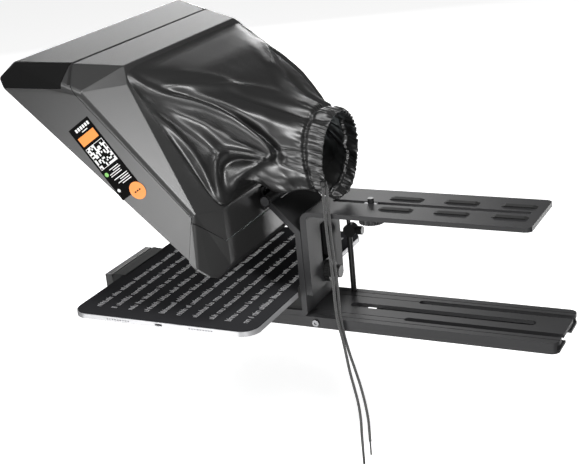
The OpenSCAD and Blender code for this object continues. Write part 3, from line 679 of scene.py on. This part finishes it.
FOLDS = [
    # long belly below the top crease, and the valley above it
    ([(0.3, 40), (0.4, 38), (0.53, 38), (0.66, 40), (0.79, 35), (0.9, 32)],
     (0, 3.5, 6, 6, 4, 1), (6, 10, 14, 14, 11, 8)),
    ([(0.47, 52), (0.55, 55), (0.67, 60), (0.8, 64), (0.91, 66)],
     (-0.5, -2.4, -3, -2.6, -1), (5, 5, 6, 6, 5)),
    # valley along the flap's steep side
    ([(0.05, 46), (0.13, 40.5), (0.25, 38), (0.37, 36.5), (0.48, 34.5), (0.6, 29), (0.68, 21), (0.735, 8),
      (0.73, -4), (0.68, -12)],
     (0, -3, -4, -5, -6, -7, -8, -8, -6, 0), (4, 4, 5, 5, 5, 5, 5, 5, 5, 5)),
    # stripes that run from the corner to the hanging tip
    ([(0.02, 36), (0.16, 30), (0.26, 26), (0.39, 23), (0.52, 18), (0.62, 10)],
     (0, 2, 3, 3, 2, 0), (8, 11, 13, 14, 12, 10)),
    ([(0.05, 30), (0.15, 20), (0.22, 6), (0.27, -8), (0.29, -18), (0.22, -32), (0.12, -42), (0.03, -47)],
     (0, 3, 5.5, 7, 7.5, 7, 6, 3), (8, 11, 13, 12, 10, 8, 7, 6)),
    ([(0.04, 22), (0.1, 8), (0.14, -10), (0.13, -26), (0.08, -38)],
     (0, -2, -3.4, -3.6, -1), (7, 9, 9, 8, 6)),
    ([(0.03, 18), (0.055, 2), (0.06, -18), (0.05, -34), (0.02, -45)], (0, 2.5, 3.5, 4, 2), (5, 7, 7, 6, 5)),
    # upper rim of the hollow, the hollow itself, and its lower rim back to the tip
    ([(0.29, -19), (0.36, -13), (0.44, -10), (0.55, -8), (0.64, -6)], (3, 5, 5.5, 5, 2), (6, 6, 6, 6, 5)),
    ([(0.1, -44), (0.2, -38), (0.3, -29), (0.4, -21), (0.5, -16), (0.58, -12)],
     (-2, -6, -9, -9, -7, -2), (5, 8, 10, 9, 7, 5)),
    ([(0.02, -49), (0.2, -47), (0.32, -40), (0.42, -31), (0.51, -23), (0.62, -9)],
     (1, 3, 4, 5, 5, 3), (4, 5, 5, 5, 5, 5)),
    # lower tube behind the flap
    ([(0.42, -52), (0.56, -50), (0.7, -45), (0.84, -38)], (3, 9, 10, 4), (12, 17, 17, 13)),
    ([(0.5, -44), (0.62, -36), (0.74, -26), (0.84, -20)], (0, 4, 5, 1), (8, 12, 12, 9)),
    ([(0.72, 8), (0.79, 10), (0.9, 14)], (-2, -4, -2), (4, 4, 4)),
    ([(0.56, -60), (0.7, -52), (0.84, -46)], (-3, -4, -1), (6, 7, 6)),
    # slight ridge on the taut panel
    ([(0.19, 54), (0.33, 58), (0.44, 64), (0.52, 58), (0.6, 46)], (0, 0.8, 1, 0.8, 0), (6, 7, 7, 7, 7)),
]

# waves toward the mouth: how many go round, the angle they start at in radians, and their size
WAVES = ((9, 0.4, 1.0), (14, 1.9, 0.8), (23, 4.4, 0.55), (37, 2.6, 0.4))


def smooth_table(t, values):
    """Value of a table at t, eased between its rows so that no ring shows a corner."""
    x = np.linspace(-0.05, 1.05, 441)
    y = np.interp(x, T_KEYS, values)
    span = 31
    eased = np.convolve(np.pad(y, span // 2, mode="edge"), np.ones(span) / span, mode="valid")
    w = np.clip(np.minimum(x, 1 - x) / 0.08, 0, 1)
    return np.interp(t, x, y * (1 - w) + eased * w)


def sleeve_base(t, phi):
    """Point of the smooth sleeve at share t along it and angle phi round it, in millimetres."""
    top = np.stack([smooth_table(t, TOP_Y), smooth_table(t, TOP_Z)], -1)
    low = np.stack([smooth_table(t, LOW_Y), smooth_table(t, LOW_Z)], -1)
    mid = (top + low) / 2
    half = np.linalg.norm(top - low, axis=-1) / 2
    up = (top - low) / (2 * half[..., None])
    power = smooth_table(t, POWER)
    c, s = np.cos(phi), np.sin(phi)
    r = (np.abs(c) ** power + np.abs(s) ** power + 1e-12) ** (-1 / power)
    rise = s * r
    taper = 1 + np.interp(t, (0, 0.3, 1), (0.035, 0, 0)) * rise
    across = smooth_table(t, HALF_W) * c * r * taper
    lift = (half * rise)[..., None] * up + mid
    return np.concatenate([across[..., None], lift], -1)


def nearest_on(path, t, phi):
    """Distance in millimetres from each point to a path, its side of it, and the share along the path."""
    keys = np.array(path, float)
    k = np.linspace(0, len(keys) - 1, PATH_STEPS)
    rows = [np.interp(k, range(len(keys)), keys[:, i]) for i in range(2)]
    for i in range(2):
        rows[i] = np.convolve(np.pad(rows[i], 2, mode="edge"), np.ones(5) / 5, mode="valid")
    pt, pp = rows
    radius = 1.25 * np.interp(pt, T_KEYS, HALF_W)
    best = np.full(t.shape, 1e9)
    side = np.zeros(t.shape)
    share = np.zeros(t.shape)
    near = (np.abs(t - (pt.min() + pt.max()) / 2) < (pt.max() - pt.min()) / 2 + 0.35)
    near &= (np.abs(phi - (pp.min() + pp.max()) / 2) < (pp.max() - pp.min()) / 2 + 45)
    whole = (best, side, share)
    t, phi, best, side, share = t[near], phi[near], best[near], side[near], share[near]
    for i in range(PATH_STEPS - 1):
        dx = (pt[i + 1] - pt[i]) * SLEEVE_LENGTH
        dy = math.radians(pp[i + 1] - pp[i]) * radius[i]
        x = (t - pt[i]) * SLEEVE_LENGTH
        y = np.radians(phi - pp[i]) * radius[i]
        length = math.hypot(dx, dy) + 1e-9
        f = np.clip((x * dx + y * dy) / length ** 2, 0, 1)
        d = np.hypot(x - f * dx, y - f * dy)
        hit = d < best
        best = np.where(hit, d, best)
        side = np.where(hit, np.sign(dx * y - dy * x), side)
        share = np.where(hit, (i + f) / (PATH_STEPS - 1), share)
    for full, part in zip(whole, (best, side, share)):
        full[near] = part
    return whole


def along(share, values):
    return np.interp(share, np.linspace(0, 1, len(values)), values)


def fold(t, phi, path, height, width):
    """Soft ridge, or valley where the height is negative, along a path."""
    d, _, share = nearest_on(path, t, phi)
    return along(share, height) * np.exp(-(d / along(share, width)) ** 2)


def lap(t, phi, path, height, short, wide):
    """Fold that stands up below its line and drops quickly above it, as where cloth laps over cloth."""
    d, side, share = nearest_on(path, t, phi)
    h = along(share, height)
    under = h * np.exp(-(d / along(share, wide)) ** 2)
    over = h * np.exp(-(d / along(share, short)) ** 2)
    return np.where(side < 0, under, over)


def soften(d, share_t, share_a):
    """Moving average of a field over the sleeve's grid, closed round the sleeve, twice."""
    nt, na = d.shape
    kt, ka = int(nt * share_t) // 2, int(na * share_a) // 2
    for _ in range(2):
        if kt:
            rows = np.pad(d, ((kt, kt), (0, 0)), mode="edge")
            d = sum(rows[i:i + nt] for i in range(2 * kt + 1)) / (2 * kt + 1)
        if ka:
            d = sum(np.roll(d, i, axis=1) for i in range(-ka, ka + 1)) / (2 * ka + 1)
    return d


def sleeve_normals(t, ph, p):
    """Way out of the smooth sleeve at each of its points."""
    e = 0.002
    du = sleeve_base(np.clip(t + e, 0, 1), ph) - sleeve_base(np.clip(t - e, 0, 1), ph)
    dv = sleeve_base(t, ph + e) - sleeve_base(t, ph - e)
    n = np.cross(dv, du)
    n /= np.linalg.norm(n, axis=-1, keepdims=True) + 1e-12
    mid = p.mean(axis=1, keepdims=True)
    return -n if ((p - mid) * n).sum() < 0 else n


def fold_height(t, phi):
    """Folds of the near side, and the same ones a little lower on the far side."""
    d = np.zeros(t.shape)
    crease = np.zeros(t.shape)
    far_phi = np.where(phi > 0, 180 - phi, -180 - phi)
    for f, w in ((phi, 1.0), (far_phi, FAR_SIDE)):
        crease += w * fold(t, f, *TOP_CREASE)
        d += w * lap(t, f, *FLAP)
        for row in FOLDS:
            d += w * fold(t, f, *row)
    return soften(d, 0.022, 0.011) + soften(crease, 0.01, 0.005)


def wave_height(t, ph, taut):
    """Long soft waves that grow toward the gathered mouth."""
    wave = np.zeros(t.shape)
    for k, (count, phase, size) in enumerate(WAVES):
        drift = 0.7 * np.sin(3.1 * t + k) + 0.5 * np.sin(7.0 * t + 2 * k)
        grow = np.clip((t - (0.45 + 0.1 * k)) / 0.3, 0, 1) ** 1.5
        wave += size * grow * np.sin(ph * count + phase + drift)
    return 1.3 * wave * np.clip((1 - t) / 0.04, 0, 1) * (1 - 0.9 * taut)


def mouth_height(t, ph):
    """Drawn channel, the puckers on both sides of it, and the ruffle outside it."""
    past = t - CHANNEL
    ruffle = np.clip(past / (1 - CHANNEL), 0, 1)
    teeth = np.abs(np.sin(19 * ph + 0.9 * np.sin(5 * ph) + 1.9 * np.sin(2 * ph + 1) + 2.5 * past)) ** 0.8
    teeth = teeth * (0.75 + 0.35 * np.sin(3 * ph + 0.5))
    fine = np.sin(61 * ph + 2 * np.sin(7 * ph) + 9 * past)
    puckers = np.clip(1 - np.abs(past) / 0.07, 0, 1) ** 2
    return (-2.6 * np.exp(-(past / 0.012) ** 2) + ruffle ** 0.8 * (0.6 + 2.7 * (teeth - 0.5) + 0.5 * fine)
            + puckers * (1.1 * (teeth - 0.55) + 0.35 * fine))


def crumple(points):
    """Small lumps that follow no seam."""
    return np.array([noise.noise(Vector(q) * 0.035 + CRUMPLE_SEED)
                     + 0.5 * noise.noise(Vector(q) * 0.09 + CRUMPLE_SEED) for q in points])


def sleeve_mesh():
    """Grid of the sleeve's points in millimetres, from the hood to the edge of the mouth."""
    nt, na = ((250, 460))
    t = np.linspace(0, 1, nt)[:, None] * np.ones((1, na))
    phi = np.linspace(-180, 180, na, endpoint=False)[None, :] * np.ones((nt, 1))
    ph = np.radians(phi)
    p = sleeve_base(t, ph)
    n = sleeve_normals(t, ph, p)
    taut = np.exp(-((phi - 90) / 42) ** 4) * np.clip((0.86 - t) / 0.2, 0, 1)
    d = fold_height(t, phi) + wave_height(t, ph, taut) + mouth_height(t, ph)
    # the edge at the hood stays in place, with a low swell just outside it
    hold = np.clip(t / 0.05, 0, 1) ** 0.7
    d = d * hold + 1.3 * (1 - np.clip(t / 0.12, 0, 1)) * np.clip(t / 0.01, 0, 1)
    p = p + n * d[..., None]
    flat = p.reshape(-1, 3)
    fade = (np.clip(t / 0.1, 0, 1) * (0.4 + 0.8 * t) * (1 - 0.85 * taut)).reshape(-1)
    flat = flat + n.reshape(-1, 3) * (crumple(flat) * fade)[:, None] * 0.7
    over_screw = (np.abs(flat[:, 0]) < SCREW_HALF_X) & (flat[:, 1] > SCREW_Y)
    flat[:, 2] = np.where(over_screw, np.maximum(flat[:, 2], SCREW_CLEAR_Z), flat[:, 2])
    return flat.reshape(nt, na, 3), nt, na


def build_sleeve():
    """Sleeve of one cloth, in place of its four panels; gives back its grid of points."""
    pts, nt, na = sleeve_mesh()
    bm = bmesh.new()
    uv = bm.loops.layers.uv.new("uv")
    grid = [[bm.verts.new(pts[i, j] * MM) for j in range(na)] for i in range(nt)]
    for i in range(nt - 1):
        for j in range(na):
            k = (j + 1) % na
            f = bm.faces.new((grid[i][j], grid[i + 1][j], grid[i + 1][k], grid[i][k]))
            for loop, (a, b) in zip(f.loops, ((i, j), (i + 1, j), (i + 1, j + 1), (i, j + 1))):
                loop[uv].uv = (a / (nt - 1), b / na)
    bmesh.ops.recalc_face_normals(bm, faces=bm.faces)
    me = bpy.data.meshes.new("sleeve")
    bm.to_mesh(me)
    bm.free()
    ob = add_object("camera_sleeve", me, "hood", "sleeve_cloth")
    m = ob.modifiers.new("cloth", "SOLIDIFY")
    m.thickness = CLOTH * MM
    m.offset = -1
    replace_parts(ob, "sleeve_top_panel", "sleeve_left_panel", "sleeve_under_panel", "sleeve_right_panel")
    return pts


sleeve_points = build_sleeve()


# ---------- printed and shown marks: greeked, no lettering ----------

def plain(name, colour, rough=0.4, glow=0.0, spec=0.3):
    m = surface(name, colour, rough, spec=spec, grain=900, bump=0.03, vary=0.06)
    p = m.node_tree.nodes["Principled BSDF"]
    if glow:
        p.inputs["Emission Color"].default_value = (*colour, 1)
        p.inputs["Emission Strength"].default_value = glow
    return m


MARKS = {
    "ink": plain("label_ink", (0.003, 0.003, 0.003), 0.6, spec=0.04),
    "white": plain("label_white", (0.75, 0.75, 0.75), 0.4),
    "orange": plain("label_orange", (0.85, 0.26, 0.04), 0.35),
    "green": plain("label_green", (0.2, 0.5, 0.12), 0.4),
    "shown": plain("screen_marks", (0.3, 0.3, 0.31), 0.4, 0.12),
}


class Flat:
    """Collects thin raised shapes on a plane: origin, two axes in the plane and the way up."""

    def __init__(self, origin, u, v, up):
        self.o, self.u, self.v, self.up = (Vector(q) for q in (origin, u, v, up))
        self.bm = bmesh.new()
        self.mats = []

    def at(self, x, y, h):
        return (self.o + self.u * x + self.v * y + self.up * h) * MM

    def shape(self, points, h, mat):
        if mat not in self.mats:
            self.mats.append(mat)
        top = [self.bm.verts.new(self.at(x, y, h)) for x, y in points]
        low = [self.bm.verts.new(self.at(x, y, 0)) for x, y in points]
        n = len(points)
        faces = [self.bm.faces.new(top), self.bm.faces.new(low[::-1])]
        for i in range(n):
            faces.append(self.bm.faces.new((top[i], low[i], low[(i + 1) % n], top[(i + 1) % n])))
        for f in faces:
            f.material_index = self.mats.index(mat)

    def bar(self, x, y, w, h, mat, level):
        self.shape([(x, y), (x + w, y), (x + w, y + h), (x, y + h)], level, mat)

    def disc(self, x, y, r, mat, level, n=48):
        self.shape([(x + r * math.cos(2 * math.pi * i / n), y + r * math.sin(2 * math.pi * i / n))
                    for i in range(n)], level, mat)

    def build(self, name, body):
        bmesh.ops.recalc_face_normals(self.bm, faces=self.bm.faces)
        me = bpy.data.meshes.new(name)
        self.bm.to_mesh(me)
        self.bm.free()
        ob = bpy.data.objects.new(name, me)
        scene.collection.objects.link(ob)
        for m in self.mats:
            me.materials.append(MARKS[m])
        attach(ob, body)


# page of greeked words: height of the glass, its lines, and the strokes that the words are made of
SCREEN_TOP_Z = 37.0
LINES = 10
LINE_PITCH = 19.3
FIRST_LINE = 38
LINE_START = -120.0
STROKE = 0.6
LOW_MARK = 4.6
TALL_MARK = 6.8
MARK_GAP = 1.0
WORD_GAP = 3.4
SCREEN_LIFT = 0.05

# label on the hood's side: how far its bars stand out, and the round one's place
LABEL_LIFT = 0.05
LABEL_LENGTH = 84.0
BAR_LIFT = 0.16
CELLS = 13
DOT_CENTRE = Vector((150.2, -123.8, 180.7))
DOT_RADIUS = 9.2


def shown_lines():
    """Ten lines of greeked words on the tablet's screen."""
    rng = np.random.default_rng(5)
    page = Flat((0, 0, SCREEN_TOP_Z), (-1, 0, 0), (0, -1, 0), (0, 0, 1))
    for row in range(LINES):
        base = FIRST_LINE + row * LINE_PITCH
        x = LINE_START
        end = rng.uniform(108, 126)
        while x < end:
            for _ in range(int(rng.integers(2, 10))):
                w = rng.choice((STROKE, 2.4, 3.0, 3.4))
                h = LOW_MARK if rng.random() < 0.62 else TALL_MARK
                page.bar(x, base, STROKE, h, "shown", SCREEN_LIFT)
                if w > STROKE:
                    page.bar(x + w - STROKE, base, STROKE, LOW_MARK, "shown", SCREEN_LIFT)
                    level = LOW_MARK - STROKE if rng.random() < 0.5 else 0
                    page.bar(x + STROKE, base + level, w - 2 * STROKE, STROKE, "shown", SCREEN_LIFT)
                x += w + MARK_GAP
            x += WORD_GAP
    page.build("screen_greeked_lines", "tablet")


def label_axes(top, left, foot):
    """Two axes in the plane of three points, and the one out of it on the near side."""
    u = (left - top).normalized()
    v = foot - left
    v = (v - u * v.dot(u)).normalized()
    up = v.cross(u)
    if up.x < 0:
        up = -up
    return u, v, up


def side_label():
    """Generic black label with colour blocks on the hood's near side, and a round orange one."""
    spots = Vector((158.5, -163.7, 255)), Vector((157, -188.9, 238.7)), Vector((149.5, -133, 173.5))
    up = label_axes(*spots)[2]
    skin = BVHTree.FromObject(bpy.data.objects["hood_front_shell"], bpy.context.evaluated_depsgraph_get())
    top, left, foot = [skin.ray_cast((q + up * 30) * MM, -up)[0] / MM for q in spots]
    u, v, up = label_axes(top, left, foot)
    w, length = (left - top).length, LABEL_LENGTH
    page = Flat(top + up * LABEL_LIFT, u, v, up)
    rng = np.random.default_rng(11)
    page.shape([(0, 0), (w, 0), (w, length), (0, length)], 0.12, "ink")
    for k in range(6):
        page.bar(3 + k * 3.6, 3.2, 2.4, 3.4, "white", BAR_LIFT)
    page.bar(9, 8.4, 8, 0.8, "white", BAR_LIFT)
    page.bar(3, 11.5, w - 6, 9.5, "orange", BAR_LIFT)
    page.bar(2.5, 24, w - 5, w - 5, "white", 0.15)
    size = (w - 6) / CELLS
    for i in range(CELLS):
        for j in range(CELLS):
            if rng.random() < 0.5:
                page.bar(3 + i * size, 24.5 + j * size, size, size, "ink", 0.18)
    for k in range(4):
        page.bar(5 + rng.uniform(0, 3), 52.5 + k * 2.2, rng.uniform(10, 17), 0.8, "white", BAR_LIFT)
    page.disc(w - 4, 55, 2.2, "green", 0.17)
    for k in range(4):
        page.bar(3, 63 + k * 2.3, rng.uniform(8, w - 7), 0.8, "white", BAR_LIFT)
    page.disc(w - 4, 74, 1.8, "white", 0.17)
    page.build("side_label", "hood")
    dot = Flat(top + up * (LABEL_LIFT + 0.2), u, v, up)
    x, y = (DOT_CENTRE - top).dot(u), (DOT_CENTRE - top).dot(v)
    dot.disc(x, y, DOT_RADIUS, "orange", 0.15, 64)
    for k in (-1, 0, 1):
        dot.bar(x + k * 3.2 - 1.1, y - 0.6, 2.2, 1.4, "ink", 0.19)
    dot.build("round_label", "hood")


shown_lines()
side_label()


# ---------- stitches ----------

STITCH_PITCH = 5
STITCH_SPAN = 3
STITCH_LIFT = 0.35
STITCH_BOW = 0.2
STITCH_PROFILE = ((0, 0.12), (0.25, 0.32), (0.75, 0.32), (1, 0.12))
SHORTEST_STITCH = 0.3
STITCH_SIDES = 6
MOUTH_Z = 176


def stitches():
    """Thread stitches round the drawn channel of the sleeve."""
    row = int(round(CHANNEL * (sleeve_points.shape[0] - 1)))
    ring = sleeve_points[row]
    outer = sleeve_points[row + 1] - sleeve_points[row - 1]
    n = len(ring)
    bm = bmesh.new()
    for j in range(0, n, STITCH_PITCH):
        a, b = Vector(ring[j]), Vector(ring[(j + STITCH_SPAN) % n])
        ahead = (b - a)
        if ahead.length < SHORTEST_STITCH:
            continue
        ahead.normalize()
        lie = Vector(outer[j]).normalized()
        up = ahead.cross(lie).normalized()
        if up.dot(Vector((ring[j][0], 0, ring[j][2] - MOUTH_Z))) < 0:
            up = -up
        rings = []
        for f, r in STITCH_PROFILE:
            c = a.lerp(b, f) + up * (STITCH_LIFT + STITCH_BOW * math.sin(math.pi * f))
            rings.append([bm.verts.new((c + r * (math.cos(q) * lie + math.sin(q) * up)) * MM)
                          for q in (2 * math.pi / STITCH_SIDES * i for i in range(STITCH_SIDES))])
        for p0, p1 in zip(rings, rings[1:]):
            for i in range(STITCH_SIDES):
                k = (i + 1) % STITCH_SIDES
                bm.faces.new((p0[i], p0[k], p1[k], p1[i]))
        bm.faces.new(rings[0][::-1])
        bm.faces.new(rings[-1])
    bmesh.ops.recalc_face_normals(bm, faces=bm.faces)
    me = bpy.data.meshes.new("stitches")
    bm.to_mesh(me)
    bm.free()
    add_object("channel_stitches", me, "hood", "cord")


stitches()
